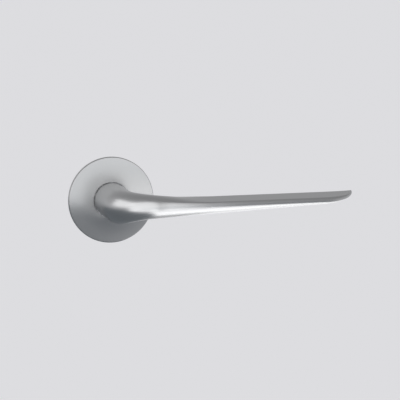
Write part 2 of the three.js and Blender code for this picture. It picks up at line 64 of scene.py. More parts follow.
NECK_RADIUS = -lever_low.z
LEVER_LENGTH = lever_high.x
SHANK_END = lever_high.y
GRIP_AXIS_OUT = 46 * MM
BEND_RADIUS = 17 * MM
GRIP_HALF_DEPTH = 7.1 * MM
GRIP_TOP = 6.1 * MM
GRIP_CENTRE = 1.6 * MM
GRIP_BOTTOM = -5.8 * MM
GRIP_BOTTOM_RISE = 0.046
FACET_SLOPE = 0.16
FACET_BACK = 0.87
FACET_BLEND = 3.0 * MM
TIP_LENGTH = 21 * MM
TIP_BLUNTNESS = 0.003

# Where the neck's circle turns into the grip's section, counted along the middle line
# from the bend's start
NECK_END = -4 * MM
DEPTH_REACHED = 34 * MM
TOP_REACHED = 62 * MM
BOTTOM_REACHED = 25 * MM
FACET_START = 20 * MM
FACET_REACHED = 58 * MM

NECK_BEHIND_ROSE = 0.35 * MM
NECK_START_OUT = -rose_low.y - NECK_BEHIND_ROSE
NECK_EDGE = 0.35 * MM
SHANK_RADIUS = 7.5 * MM
SHANK_HALF_FLATS = 5.5 * MM
SHANK_EDGE = 0.3 * MM
FLATS_FROM = 7 * MM
RING_GROOVE_DEPTH = 0.5 * MM
SOCKET_HALF = 4.1 * MM
SOCKET_DEPTH = 24.5 * MM
GRUB_HEX = 3 * MM

ROSE_GAP = 0.4 * MM
ROSE_SHEET = 0.95 * MM
ROSE_RIM = 1.2 * MM
ROSE_EDGE = 0.4 * MM

PLATE_RIM = 1.1 * MM
PLATE_RECESS = 0.12 * MM
BOLT_RADIUS = 2 * MM
BOLT_PITCH = 0.7 * MM
SCREW_RADIUS = 1.1 * MM
SCREW_PITCH = 0.45 * MM

THREAD_IN_POST = 2 * MM
SCREW_THREAD_FROM = 1 * MM
HEAD_EDGE = 0.1 * MM
HEAD_RIM = 0.12 * MM
CUTTER_FLARE = 0.2 * MM

# Depth of a thread against its pitch, a cross recess against its screw's head, and the radius
# of a screw's end against its own
THREAD_DEPTH = 0.61
CROSS_LENGTH = 1.15
CROSS_WIDTH = 0.26
CROSS_DEPTH = 0.8
SCREW_END = 0.7
GRUB_START = 0.8
GRUB_POINT = 0.55

POST_GROOVE_PLACE = 0.6
POST_GROOVE_DEPTH = 0.25 * MM
POST_GROOVE_FLOOR = 0.65 * MM
POST_CHAMFER = 0.5 * MM
HOUSING_WALL = 1.3 * MM
HOUSING_FLOOR = 1.2 * MM
HOUSING_CHAMFER = 0.6 * MM
CAST_DRAFT = 0.2 * MM
POCKET_ANGLES = (30, 150, 255)
POCKET_HALF_ANGLE = 24
POCKET_DEPTH = 0.5 * MM
POCKET_FROM_BORE = 1.6 * MM
POCKET_FROM_WALL = 1.7 * MM
FLUTE_RADIUS = 0.9 * MM
FLUTE_STEP = 30
FLUTE_OUT = 1.035
FLUTE_START = 2.5 * MM

SPRING_RADIUS = 9.7 * MM
SPRING_WIRE_RADIUS = 0.7 * MM
SPRING_FIXED_ANGLE = 60
SPRING_DRIVEN_ANGLE = 168
SPRING_FULL_TURNS = 2
SPRING_LEG_OUT = 13.1 * MM
SPRING_CORNER = 1.3 * MM
SPRING_CORNER_ANGLE = 8
SPRING_CLOSED_ENDS = 0.3

RUNNING_GAP = 0.1 * MM
HEAD_GAP = 0.08 * MM
TOUCH_GAP = 0.05 * MM
WASHER_GAP = 0.3 * MM
BUSH_WALL = 0.75 * MM
REAR_BUSH_WALL = 1.3 * MM
REAR_FLANGE = 1 * MM
PLATE_HOLE_GAP = 0.95 * MM
PIN_HOLE_RADIUS = 1.25 * MM
PIN_CHAMFER = 0.3 * MM
WAVE_THICKNESS = 0.2 * MM
WAVES = 3

RING_GAP_ANGLE = 90
RING_WIDEST = 2.0 * MM
RING_NARROWEST = 1.35 * MM
RING_HALF_GAP = 28
RING_EAR_ANGLE = 26
RING_EAR_OUT = 1.9 * MM
RING_EAR_RADIUS = 1.5 * MM
RING_EAR_BEVEL = 0.1 * MM
RING_EAR_HOLE = 0.7 * MM

SPINDLE_CORNER = 0.45 * MM
SPINDLE_CHAMFER = 0.6 * MM
GRUB_PITCH = 1 * MM
GRUB_HEX_DEPTH = 2.4 * MM
GRUB_START_LENGTH = 0.4 * MM
GRUB_POINT_LENGTH = 0.9 * MM
SNAP_RING_FROM = 100
SNAP_RING_TO = 440

# How far a cutter runs past what it cuts
PAST = 1 * MM


# Meshes

def make_object(name, vertices, faces, sharp_degrees=35):
    mesh = bpy.data.meshes.new(name)
    mesh.from_pydata([tuple(v) for v in vertices], [], faces)
    solid = bmesh.new()
    solid.from_mesh(mesh)
    bmesh.ops.remove_doubles(solid, verts=solid.verts, dist=1e-7)
    bmesh.ops.recalc_face_normals(solid, faces=solid.faces)
    solid.to_mesh(mesh)
    solid.free()
    obj = bpy.data.objects.new(name, mesh)
    bpy.context.scene.collection.objects.link(obj)
    smooth(obj, sharp_degrees)
    return obj


def smooth(obj, sharp_degrees=35):
    obj.data.shade_smooth()
    obj.data.set_sharp_from_angle(angle=math.radians(sharp_degrees))


def skin(rings, closed=False):
    """Faces over a run of rings of equal length: capped at both ends, or closed into a loop."""
    count = len(rings[0])
    vertices = np.concatenate(rings)
    faces = []
    runs = len(rings) if closed else len(rings) - 1
    for r in range(runs):
        a = r * count
        b = ((r + 1) % len(rings)) * count
        for i in range(count):
            j = (i + 1) % count
            faces.append((a + i, a + j, b + j, b + i))
    if not closed:
        last = (len(rings) - 1) * count
        faces.append(tuple(range(count))[::-1])
        faces.append(tuple(last + i for i in range(count)))
    return vertices, faces


def full_turn(count):
    return np.linspace(0, 2 * math.pi, count + 1)[:-1]


def ring_at(centre, reach, y, angles):
    """Points round the Y direction at one y, with the angle counted from +X towards +Z."""
    reach = np.broadcast_to(reach, len(angles))
    return np.stack([
        centre[0] + reach * np.cos(angles),
        np.full(len(angles), y),
        centre[2] + reach * np.sin(angles),
    ], axis=1)


def arc_point(start, corner, end, t):
    """A point on the small arc that rounds a corner."""
    return (1 - t) ** 2 * start + 2 * t * (1 - t) * corner + t ** 2 * end


def rounded(outline, radius, closed=True, steps=4):
    """The outline with each corner turned into a small arc."""
    points = [np.array(p, float) for p in outline]
    result = []
    for i, corner in enumerate(points):
        if not closed and i in (0, len(points) - 1):
            result.append(corner)
            continue
        before = points[i - 1] - corner
        after = points[(i + 1) % len(points)] - corner
        reach = min(radius, 0.45 * np.linalg.norm(before), 0.45 * np.linalg.norm(after))
        start = corner + before / np.linalg.norm(before) * reach
        end = corner + after / np.linalg.norm(after) * reach
        for t in np.linspace(0, 1, steps + 1):
            result.append(arc_point(start, corner, end, t))
    return result


AXIS = (0, 0, 0)


def on_circle(radius, degrees, y=0.0):
    a = math.radians(degrees)
    return np.array((radius * math.cos(a), y, radius * math.sin(a)))


def ring_section(outline, degrees):
    """An outline of (radius, y) points, set upright at one angle about the spindle's axis."""
    return np.array([on_circle(r, degrees, y) for r, y in outline])


def turned_ring(name, outline, edge=0.1 * MM, centre=AXIS, count=160):
    """A ring turned about the Y direction from a closed outline of (radius, y) points."""
    rings = [ring_at(centre, r, y, full_turn(count)) for r, y in rounded(outline, edge)]
    return make_object(name, *skin(rings, closed=True))


def turned_rod(name, outline, edge=0.1 * MM, centre=AXIS, count=48):
    """A solid turned about the Y direction from an open outline, with a flat face at each end."""
    angles = full_turn(count)
    rings = [ring_at(centre, r, y, angles) for r, y in rounded(outline, edge, closed=False)]
    return make_object(name, *skin(rings))


def sector(name, inner, outer, from_degrees, to_degrees, y0, y1, steps=24):
    """A flat ring sector, with rounded long edges."""
    outline = rounded([(inner, y0), (outer, y0), (outer, y1), (inner, y1)], 0.08 * MM, steps=2)
    turns = np.linspace(from_degrees, to_degrees, steps + 1)
    return make_object(name, *skin([ring_section(outline, degrees) for degrees in turns]))


def block(name, centre, size):
    x, y, z = (s / 2 for s in size)
    low = [(-x, -y, -z), (x, -y, -z), (x, -y, z), (-x, -y, z)]
    high = [(px, -py, pz) for px, py, pz in low]
    rings = [np.array(low) + np.array(centre), np.array(high) + np.array(centre)]
    return make_object(name, *skin(rings))


def tube_along(name, path, radius, sides=14):
    """A round wire along a path, with slightly rounded ends."""
    path = np.array(path)
    ahead = np.gradient(path, axis=0)
    ahead /= np.linalg.norm(ahead, axis=1)[:, None]
    across = np.cross(ahead[0], (0, 1, 0))
    rings = []
    end_taper = {0: 0.8, len(path) - 1: 0.8}
    for i, (place, forward) in enumerate(zip(path, ahead)):
        across = across - forward * np.dot(across, forward)
        across /= np.linalg.norm(across)
        up = np.cross(forward, across)
        reach = radius * end_taper.get(i, 1.0)
        rings.append(np.array([
            place + reach * (across * math.cos(a) + up * math.sin(a)) for a in full_turn(sides)
        ]))
    return make_object(name, *skin(rings), sharp_degrees=50)


def combine(obj, others, operation):
    """Cuts the others out of obj, or joins them to it, and removes them."""
    for other in others:
        modifier = obj.modifiers.new("combine", "BOOLEAN")
        modifier.operation = operation
        modifier.solver = "EXACT"
        modifier.object = other
    evaluated = obj.evaluated_get(bpy.context.evaluated_depsgraph_get())
    result = bpy.data.meshes.new_from_object(evaluated)
    obj.modifiers.clear()
    obj.data = result
    for other in others:
        bpy.data.objects.remove(other)
    smooth(obj)
    return obj


# Lever: the same sections as the CAD lever, with many more of them

def ease(value, start, end):
    t = min(max((value - start) / (end - start), 0.0), 1.0)
    return t * t * (3 - 2 * t)


def mix(a, b, t):
    return a + (b - a) * t


def soft_min(a, b, blend):
    overlap = np.maximum(blend - np.abs(a - b), 0) / blend
    return np.minimum(a, b) - overlap * overlap * blend / 4


BEND_START_OUT = GRIP_AXIS_OUT - BEND_RADIUS
BEND_ARC = BEND_RADIUS * math.pi / 2


def lever_station(distance):
    """The section's centre and forward direction in plan, at a distance past the start of the bend."""
    angle = min(max(distance / BEND_RADIUS, 0.0), math.pi / 2)
    x = BEND_RADIUS * (1 - math.cos(angle)) + max(distance - BEND_ARC, 0.0)
    out = BEND_START_OUT + BEND_RADIUS * math.sin(angle) + min(distance, 0.0)
    return x, out, -math.cos(angle), math.sin(angle)


def lever_section(distance, angles):
    x, out, forward_x, forward_out = lever_station(distance)
    deep = ease(distance, NECK_END, DEPTH_REACHED)
    half_depth = mix(NECK_RADIUS, GRIP_HALF_DEPTH, deep)
    centre = mix(0, GRIP_CENTRE, deep)
    top = mix(NECK_RADIUS, GRIP_TOP, ease(distance, NECK_END, TOP_REACHED))
    along_grip = distance - BEND_ARC + BEND_RADIUS
    belly = GRIP_BOTTOM + GRIP_BOTTOM_RISE * along_grip
    bottom = mix(-NECK_RADIUS, belly, ease(distance, NECK_END, BOTTOM_REACHED))
    facet = ease(distance, FACET_START, FACET_REACHED)
    into_tip = max(along_grip - (LEVER_LENGTH - TIP_LENGTH), 0) / TIP_LENGTH
    shrink = math.sqrt(max(1 - into_tip ** 2, TIP_BLUNTNESS))
    forward = half_depth * np.cos(angles)
    rise = np.sin(angles)
    below = rise * (centre - bottom)
    round_height = centre + np.where(rise > 0, rise * (top - centre), below)
    back_height = math.sqrt(1 - FACET_BACK ** 2)
    shoulder = centre + np.where(rise > 0, rise * (top - centre) / back_height, below)
    flat = top - FACET_SLOPE * (forward + FACET_BACK * half_depth)
    height = mix(round_height, soft_min(shoulder, flat, FACET_BLEND), facet)
    back_edge = -FACET_BACK * half_depth
    forward = back_edge + (forward - back_edge) * shrink
    height = top + (height - top) * shrink
    return np.stack([x + forward_x * forward, -(out + forward_out * forward), height], axis=1)


def lever_distances():
    start = -(BEND_START_OUT - NECK_START_OUT)
    end = BEND_ARC + LEVER_LENGTH - BEND_RADIUS
    tip = end - TIP_LENGTH
    neck = np.linspace(start + NECK_EDGE, NECK_END, 12)
    bend = np.linspace(NECK_END, TOP_REACHED, 110)[1:]
    grip = np.linspace(TOP_REACHED, tip, 40)[1:]
    point = tip + TIP_LENGTH * np.sin(np.linspace(0, math.pi / 2, 48)[1:])
    return np.concatenate([neck, bend, grip, point])


def make_lever():
    angles = full_turn(144)
    mirrored = math.pi - angles
    rings = [lever_section(d, angles) for d in lever_distances()[::-1]]
    for turn in np.linspace(0, math.pi / 2, 6)[1:]:
        reach = NECK_RADIUS - NECK_EDGE * (1 - math.cos(turn))
        rings.append(ring_at(AXIS, reach, -NECK_START_OUT - NECK_EDGE * (1 - math.sin(turn)), mirrored))

    def shank_ring(y, radius=SHANK_RADIUS, half_flats=None):
        reach = np.full(len(angles), radius)
        if half_flats:
            reach = np.minimum(reach, half_flats / np.maximum(np.abs(np.sin(angles)), 1e-6))
        return ring_at(AXIS, reach, y, mirrored)

    def socket_ring(y):
        reach = SOCKET_HALF / np.maximum(np.abs(np.cos(angles)), np.abs(np.sin(angles)))
        return ring_at(AXIS, reach, y, mirrored)

    groove_front, groove_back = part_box("retaining_ring")[0].y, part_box("retaining_ring")[1].y
    groove_radius = SHANK_RADIUS - RING_GROOVE_DEPTH
    rings += [
        shank_ring(-NECK_START_OUT),
        shank_ring(FLATS_FROM),
        shank_ring(FLATS_FROM, half_flats=SHANK_HALF_FLATS),
        shank_ring(groove_front, half_flats=SHANK_HALF_FLATS),
        shank_ring(groove_front, groove_radius, SHANK_HALF_FLATS),
        shank_ring(groove_back, groove_radius, SHANK_HALF_FLATS),
        shank_ring(groove_back, half_flats=SHANK_HALF_FLATS),
        shank_ring(SHANK_END - SHANK_EDGE, half_flats=SHANK_HALF_FLATS),
        shank_ring(SHANK_END, SHANK_RADIUS - SHANK_EDGE, SHANK_HALF_FLATS - SHANK_EDGE),
        socket_ring(SHANK_END),
        socket_ring(-SOCKET_DEPTH),
    ]
    return make_object("lever_surface", *skin(rings))


# Round parts

def make_rose():
    hole = NECK_RADIUS + ROSE_GAP
    front, inside = rose_low.y, rose_low.y + ROSE_SHEET
    return turned_ring("rose_surface", [
        (hole, inside),
        (hole, front),
        (rose_high.x - ROSE_EDGE, front),
        (rose_high.x, front + ROSE_EDGE),
        (rose_high.x, 0),
        (rose_high.x - ROSE_RIM, 0),
        (rose_high.x - ROSE_RIM, inside),
    ], edge=0.12 * MM, count=240)


def thread_rings(radius, pitch, y0, y1, centre, count=32, per_turn=8):
    """Rings along a rod whose radius follows a screw thread, fading in and out at the ends."""
    depth = THREAD_DEPTH * pitch
    angles = full_turn(count)
    rings = []
    for y in np.linspace(y0, y1, int((y1 - y0) / pitch * per_turn) + 1):
        phase = (y / pitch + angles / (2 * math.pi)) % 1
        # A V, cut off flat at the root and the crest
        groove = np.clip(1.15 * (1 - np.abs(2 * phase - 1)) - 0.05, 0, 1)
        fade = min((y - y0) / pitch, (y1 - y) / pitch, 1)
        rings.append(ring_at(centre, radius - depth * groove * fade, y, angles))
    return rings


def make_screw(node, radius, pitch, thread_from):
    """A countersunk screw with a cross recess and a real thread behind thread_from."""
    low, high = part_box(node)
    centre = (low + high) / 2
    head_radius = (high.x - low.x) / 2
    head_back = low.y + head_radius - radius
    angles = full_turn(32)
    head = [(head_radius - HEAD_EDGE, low.y), (head_radius, low.y + HEAD_RIM), (radius, head_back)]
    rings = [ring_at(centre, r, y, angles) for r, y in rounded(head, HEAD_EDGE, closed=False)]
    rings += thread_rings(radius, pitch, thread_from, high.y - radius / 3, centre)
    rings.append(ring_at(centre, radius * SCREW_END, high.y, angles))
    screw = make_object(node + "_threaded", *skin(rings), sharp_degrees=45)
    arm, slot = head_radius * CROSS_LENGTH, head_radius * CROSS_WIDTH
    depth = (head_back - low.y) * CROSS_DEPTH
    cross = [
        block("cross", (centre.x, low.y, centre.z), (arm, 2 * depth, slot)),
        block("cross", (centre.x, low.y, centre.z), (slot, 2 * depth, arm)),
    ]
    return combine(screw, cross, "DIFFERENCE")


def countersink(head_node, shank_radius):
    """A cutter a little larger than a screw's head and shank."""
    low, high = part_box(head_node)
    head_radius = (high.x - low.x) / 2 + HEAD_GAP
    back = low.y + head_radius - shank_radius
    return turned_rod("countersink", [
        (head_radius + CUTTER_FLARE, low.y - CUTTER_FLARE),
        (shank_radius + HEAD_GAP, back),
        (shank_radius + HEAD_GAP, high.y + PAST),
    ], edge=0, centre=(low + high) / 2)


BOLTS = ["through_bolt_left", "through_bolt_right"]
POSTS = ["locating_post_left", "locating_post_right"]
SCREWS = ["cassette_screw_1", "cassette_screw_2", "cassette_screw_3"]
PINS = ["stop_pin_rest", "stop_pin_travel"]


def make_plate():
    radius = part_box("mounting_plate")[1].x
    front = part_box("mounting_plate")[0].y
    hole = SHANK_RADIUS + PLATE_HOLE_GAP
    plate = turned_ring("mounting_plate_pressed", [
        (hole, front),
        (radius, front),
        (radius, 0),
        (radius - PLATE_RIM, 0),
        (radius - PLATE_RIM, -PLATE_RECESS),
        (hole, -PLATE_RECESS),
    ], edge=0.15 * MM, count=200)
    cutters = [countersink(bolt, BOLT_RADIUS) for bolt in BOLTS]
    cutters += [countersink(screw, SCREW_RADIUS) for screw in SCREWS]
    return combine(plate, cutters, "DIFFERENCE")


def make_post(node, bolt):
    low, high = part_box(node)
    centre = (low + high) / 2
    radius = (high.x - low.x) / 2
    inner = BOLT_RADIUS + HEAD_GAP
    groove = mix(low.y, high.y, POST_GROOVE_PLACE)
    groove_floor = groove + POST_GROOVE_DEPTH
    floor_end = groove_floor + POST_GROOVE_FLOOR
    post = turned_ring(node + "_turned", [
        (inner, low.y),
        (radius, low.y),
        (radius, groove),
        (radius - POST_GROOVE_DEPTH, groove_floor),
        (radius - POST_GROOVE_DEPTH, floor_end),
        (radius, floor_end + POST_GROOVE_DEPTH),
        (radius, high.y - POST_CHAMFER),
        (radius - POST_CHAMFER, high.y),
        (inner, high.y),
    ], edge=0.06 * MM, centre=centre, count=64)
    return combine(post, [countersink(bolt, BOLT_RADIUS)], "DIFFERENCE")


def make_housing():
    """The cast cup, without the screw bosses and the spring's anchor that the CAD has inside it."""
    low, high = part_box("spring_housing")
    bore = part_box("rear_bush")[1].x - REAR_FLANGE + TOUCH_GAP
    inner = high.x - HOUSING_WALL
    floor = high.y - HOUSING_FLOOR
    cup = turned_ring("spring_housing_cast", [
        (inner, low.y),
        (high.x, low.y),
        (high.x - CAST_DRAFT, high.y - HOUSING_CHAMFER),
        (high.x - CAST_DRAFT - HOUSING_CHAMFER, high.y),
        (bore, high.y),
        (bore, floor),
        (inner, floor),
    ], edge=0.3 * MM, count=200)
    pockets = []
    for middle in POCKET_ANGLES:
        pockets.append(sector(
            "pocket", bore + POCKET_FROM_BORE, high.x - POCKET_FROM_WALL,
            middle - POCKET_HALF_ANGLE, middle + POCKET_HALF_ANGLE,
            high.y - POCKET_DEPTH, high.y + POCKET_DEPTH,
        ))
    flutes = []
    for degrees in range(0, 360, FLUTE_STEP):
        flutes.append(turned_rod("flute", [
            (FLUTE_RADIUS, low.y + FLUTE_START), (FLUTE_RADIUS, high.y + PAST),
        ], centre=on_circle(high.x * FLUTE_OUT, degrees), count=24))
    pin_holes = []
    for pin in PINS:
        pin_low, pin_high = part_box(pin)
        pin_holes.append(turned_rod("pin_hole", [
            (PIN_HOLE_RADIUS, floor - PAST), (PIN_HOLE_RADIUS, high.y + PAST),
        ], centre=(pin_low + pin_high) / 2, count=32))
    return combine(cup, pockets + flutes + pin_holes, "DIFFERENCE")


def make_retaining_ring():
    """A circlip: widest opposite its gap, with a drilled ear at each end."""
    low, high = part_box("retaining_ring")
    inner = SHANK_RADIUS - RING_GROOVE_DEPTH + HEAD_GAP
    rings = []
    start, end = RING_GAP_ANGLE + RING_HALF_GAP, RING_GAP_ANGLE + 360 - RING_HALF_GAP
    for degrees in np.linspace(start, end, 90):
        near_gap = 0.5 + 0.5 * math.cos(math.radians(degrees - RING_GAP_ANGLE))
        outer = inner + mix(RING_WIDEST, RING_NARROWEST, near_gap)
        corners = [(inner, low.y), (outer, low.y), (outer, high.y), (inner, high.y)]
        rings.append(ring_section(rounded(corners, 0.06 * MM, steps=2), degrees))
    ring = make_object("retaining_ring_stamped", *skin(rings))
    ears, holes = [], []
    for degrees in (RING_GAP_ANGLE - RING_EAR_ANGLE, RING_GAP_ANGLE + RING_EAR_ANGLE):
        place = on_circle(inner + RING_EAR_OUT, degrees)
        ears.append(turned_rod("ear", [
            (RING_EAR_RADIUS - RING_EAR_BEVEL, low.y),
            (RING_EAR_RADIUS, low.y + RING_EAR_BEVEL),
            (RING_EAR_RADIUS, high.y - RING_EAR_BEVEL),
            (RING_EAR_RADIUS - RING_EAR_BEVEL, high.y),
        ], edge=0, centre=place))
        holes.append(turned_rod("ear_hole", [
            (RING_EAR_HOLE, low.y - PAST), (RING_EAR_HOLE, high.y + PAST),
        ], centre=place, count=32))
    combine(ring, ears, "UNION")
    return combine(ring, holes, "DIFFERENCE")


def make_wave_washer():
    low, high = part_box("wave_washer")
    inner, outer = SHANK_RADIUS + WASHER_GAP, high.x
    swing = (high.y - low.y - WAVE_THICKNESS) / 2
    corners = [(inner, 0), (outer, 0), (outer, WAVE_THICKNESS), (inner, WAVE_THICKNESS)]
    outline = rounded(corners, 0.04 * MM, steps=2)
    rings = []
    for a in full_turn(144):
        lift = low.y + swing * (1 + math.sin(WAVES * a))
        rings.append(ring_section([(r, y + lift) for r, y in outline], math.degrees(a)))
    return make_object("wave_washer_pressed", *skin(rings, closed=True))


def make_bush(node, name, wall, flange_back):
    """A flanged plastic bush, with the flange at its front end."""
    low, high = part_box(node)
    inner = SHANK_RADIUS + RUNNING_GAP
    outer = inner + wall
    return turned_ring(name, [
        (inner, low.y),
        (high.x, low.y),
        (high.x, flange_back),
        (outer, flange_back),
        (outer, high.y),
        (inner, high.y),
    ], edge=0.12 * MM)


def make_thrust_washer():
    low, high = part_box("thrust_washer")
    inner = SHANK_RADIUS + WASHER_GAP
    return turned_ring("thrust_washer_moulded", [
        (inner, low.y), (high.x, low.y), (high.x, high.y), (inner, high.y),
    ], edge=0.08 * MM)


def make_pin(node):
    low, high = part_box(node)
    radius = (high.x - low.x) / 2
    return turned_rod(node + "_ground", [
        (radius - PIN_CHAMFER, low.y),
        (radius, low.y + PIN_CHAMFER),
        (radius, high.y - PIN_CHAMFER),
        (radius - PIN_CHAMFER, high.y),
    ], centre=(low + high) / 2, count=40)


def make_spindle():
    low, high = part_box("square_spindle")
    half = high.x

    def square(half_width, y):
        signs = [(1, 1), (-1, 1), (-1, -1), (1, -1)]
        flat = [(half_width * x, half_width * z) for x, z in signs]
        return np.array([(x, y, z) for x, z in rounded(flat, SPINDLE_CORNER)])

    return make_object("square_spindle_drawn", *skin([
        square(half - SPINDLE_CHAMFER, low.y),
        square(half, low.y + SPINDLE_CHAMFER),
        square(half, high.y - SPINDLE_CHAMFER),
        square(half - SPINDLE_CHAMFER, high.y),
    ]))


def stand_in_neck(obj):
    """Turns a solid built along Y to stand where the grub screw goes, with its front end down."""
    low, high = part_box("grub_screw")
    to_place = Matrix.Translation((0, (low.y + high.y) / 2, 0))
    obj.data.transform(to_place @ Matrix.Rotation(math.pi / 2, 4, "X"))
    return obj


def make_grub_screw():
    low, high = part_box("grub_screw")
    radius = (high.x - low.x) / 2
    angles = full_turn(32)
    thread_start, thread_end = low.z + GRUB_START_LENGTH, high.z - GRUB_POINT_LENGTH
    rings = [ring_at(AXIS, radius * GRUB_START, low.z, angles)]
    rings += thread_rings(radius, GRUB_PITCH, thread_start, thread_end, AXIS)
    rings.append(ring_at(AXIS, radius * GRUB_POINT, high.z, angles))
    screw = make_object("grub_screw_threaded", *skin(rings), sharp_degrees=45)
    corner = GRUB_HEX / math.sqrt(3)
    socket = turned_rod("socket", [
        (corner, low.z - PAST), (corner, low.z + GRUB_HEX_DEPTH),
    ], edge=0, count=6)
    return stand_in_neck(combine(screw, [socket], "DIFFERENCE"))


def make_snap_ring():
    low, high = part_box("snap_ring")
    wire = (high.y - low.y) / 2
    middle = high.x - wire
    turns = np.linspace(SNAP_RING_FROM, SNAP_RING_TO, 180)
    path = [on_circle(middle, degrees, (low.y + high.y) / 2) for degrees in turns]
    return tube_along("snap_ring_wire", path, wire, sides=10)


def make_spring():
    """Torsion spring: a leg held by the housing, the coil, and a leg on the driver's finger."""
    low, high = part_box("return_spring")
    front, back = low.y + SPRING_WIRE_RADIUS, high.y - SPRING_WIRE_RADIUS
    sweep = SPRING_DRIVEN_ANGLE - SPRING_FIXED_ANGLE - 360 * (SPRING_FULL_TURNS + 1)
    corner_start = SPRING_RADIUS + SPRING_CORNER

    def leg(angle, turn, y):
        """From the leg's end through a round corner to the coil."""
        straight = [on_circle(r, angle, y) for r in np.linspace(SPRING_LEG_OUT, corner_start, 6)]
        corner = on_circle(SPRING_RADIUS, angle, y)
        on_coil = on_circle(SPRING_RADIUS, angle + turn, y)
        arc_steps = np.linspace(0, 1, 8)[1:]
        return straight + [arc_point(straight[-1], corner, on_coil, t) for t in arc_steps]

    start = leg(SPRING_FIXED_ANGLE, -SPRING_CORNER_ANGLE, front)
    end = leg(SPRING_DRIVEN_ANGLE, SPRING_CORNER_ANGLE, back)
    coil = []
    for t in np.linspace(0, 1, 220)[1:-1]:
        degrees = SPRING_FIXED_ANGLE + mix(-SPRING_CORNER_ANGLE, sweep + SPRING_CORNER_ANGLE, t)
        along = mix(t, ease(t, 0, 1), SPRING_CLOSED_ENDS)
        coil.append(on_circle(SPRING_RADIUS, degrees, mix(front, back, along)))
    return tube_along("return_spring_coiled", start + coil + end[::-1], SPRING_WIRE_RADIUS)


# Materials

def add_node(material, kind, **settings):
    node = material.node_tree.nodes.new(kind)
    for name, value in settings.items():
        node.inputs[name.replace("_", " ")].default_value = value
    return node


def surface(name, colour, roughness, spread, grain, bump, metallic=1.0, wear=0.0, worn=None):
    """Noise of one grain size tints the colour, varies the roughness and roughens the surface.
    Worn edges turn lighter, where wear is above 0."""
    material = bpy.data.materials.new(name)
    material.use_nodes = True
    links = material.node_tree.links
    shader = material.node_tree.nodes["Principled BSDF"]
    shader.inputs["Metallic"].default_value = metallic
    where = add_node(material, "ShaderNodeTexCoord")
    scaled = add_node(material, "ShaderNodeMapping", Scale=grain)
    noise = add_node(material, "ShaderNodeTexNoise", Scale=1.0, Detail=5.0, Roughness=0.6)
    links.new(where.outputs["Object"], scaled.inputs["Vector"])
    links.new(scaled.outputs["Vector"], noise.inputs["Vector"])

    darker = [c * 0.94 for c in colour]
    lighter = [min(c * 1.06, 1) for c in colour]
    tint = add_node(material, "ShaderNodeMixRGB", Color1=(*darker, 1), Color2=(*lighter, 1))
    links.new(noise.outputs["Fac"], tint.inputs["Fac"])
    gloss = add_node(
        material, "ShaderNodeMapRange", To_Min=roughness - spread, To_Max=roughness + spread)
    links.new(noise.outputs["Fac"], gloss.inputs["Value"])
    relief = add_node(material, "ShaderNodeBump", Strength=1.0, Distance=bump)
    links.new(noise.outputs["Fac"], relief.inputs["Height"])
    links.new(relief.outputs["Normal"], shader.inputs["Normal"])
    links.new(gloss.outputs["Result"], shader.inputs["Roughness"])
    if not wear:
        links.new(tint.outputs["Color"], shader.inputs["Base Color"])
        return material

    shape = add_node(material, "ShaderNodeNewGeometry")
    edges = add_node(material, "ShaderNodeMapRange", From_Min=0.52, From_Max=0.6, To_Max=wear)
    links.new(shape.outputs["Pointiness"], edges.inputs["Value"])
    rubbed = add_node(material, "ShaderNodeMixRGB", Color2=(*worn, 1))
    links.new(edges.outputs["Result"], rubbed.inputs["Fac"])
    links.new(tint.outputs["Color"], rubbed.inputs["Color1"])
    links.new(rubbed.outputs["Color"], shader.inputs["Base Color"])
    return material


# Noise cells to the metre
FINE, MEDIUM, COARSE = (4000,) * 3, (1200,) * 3, (500,) * 3

STAINLESS = (0.45, 0.453, 0.456)
lever_steel = surface("lever_steel", STAINLESS, 0.33, 0.03, FINE, 1e-6)
rose_steel = surface("rose_steel", STAINLESS, 0.3, 0.03, FINE, 1e-6)
zinc_plate = surface(
    "zinc_plated_steel", (0.5, 0.51, 0.53), 0.42, 0.1, MEDIUM, 5e-6,
    wear=0.5, worn=(0.75, 0.76, 0.77))
cast_zinc = surface(
    "zinc_casting", (0.4, 0.405, 0.41), 0.55, 0.12, COARSE, 4e-5,
    wear=0.6, worn=(0.62, 0.62, 0.62))
spring_steel = surface(
    "tempered_spring_steel", (0.2, 0.2, 0.21), 0.35, 0.08, MEDIUM, 6e-6,
    wear=0.5, worn=(0.45, 0.45, 0.45))
black_steel = surface(
    "black_oxide_steel", (0.05, 0.05, 0.055), 0.45, 0.08, MEDIUM, 5e-6,
    wear=0.5, worn=(0.3, 0.3, 0.3))
white_acetal = surface("white_acetal", (0.8, 0.8, 0.77), 0.5, 0.08, MEDIUM, 5e-6, metallic=0.0)


def finish_piece(obj, node, body, material):
    obj.data.materials.clear()
    obj.data.materials.append(material)
    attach(obj, body)
    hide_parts(node)


# Camera, where the photographer stood

CAMERA_PLACE = Vector((-173.1, -839.7, 128.9)) * MM
CAMERA_YAW = 15.24
CAMERA_PITCH = 8.586
CAMERA_LENS = 129.5

camera_data = bpy.data.cameras.new("camera")
camera = bpy.data.objects.new("camera", camera_data)
bpy.context.scene.collection.objects.link(camera)
camera.location = CAMERA_PLACE
camera.rotation_euler = (math.radians(90 - CAMERA_PITCH), 0, -math.radians(CAMERA_YAW))
camera_data.sensor_width = 36
camera_data.lens = CAMERA_LENS
camera_data.clip_start = 0.01
camera_data.clip_end = 300
bpy.context.scene.camera = camera
bpy.context.scene.view_settings.view_transform = "Standard"


# Pieces

grub_hole_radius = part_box("grub_screw")[1].x + RUNNING_GAP
grub_hole = stand_in_neck(turned_rod("grub_hole", [
    (grub_hole_radius, -NECK_RADIUS - PAST), (grub_hole_radius, -SOCKET_HALF),
], edge=0, count=64))
lever = combine(make_lever(), [grub_hole], "DIFFERENCE")

